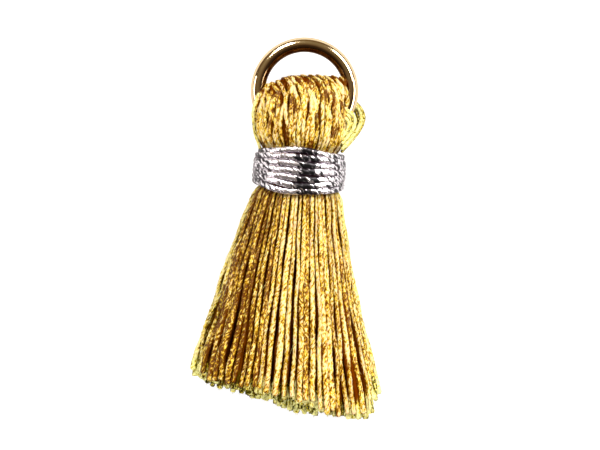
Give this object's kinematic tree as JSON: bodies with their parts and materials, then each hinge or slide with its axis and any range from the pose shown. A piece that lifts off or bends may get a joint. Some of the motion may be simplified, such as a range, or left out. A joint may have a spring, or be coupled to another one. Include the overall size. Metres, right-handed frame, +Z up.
{
  "type": "silk tassel",
  "caption": "Small silk tassel lying on its back: a hank of golden thread folded over a round jump ring, bound with metallic thread, its skirt fanned out to a sloping hem.",
  "frame": {"origin": "on the surface that the tassel lies on, under the middle of its length, width and height box", "axes": "+Y along the tassel from the hem to the jump ring, +X across it to the right as seen from above, +Z up from the surface"},
  "size_m": [0.0146, 0.0281, 0.0061],
  "materials": {
    "silk_thread": "golden yellow twisted viscose thread with a silky shine",
    "metallic_thread": "silver-coloured metallised thread, bright",
    "gold_plate": "pale gold plate, polished"
  },
  "bodies": {
    "root": {"threads": "silk_thread", "neck_wrap": "metallic_thread", "jump_ring": "gold_plate"}
  },
  "joints": []
}
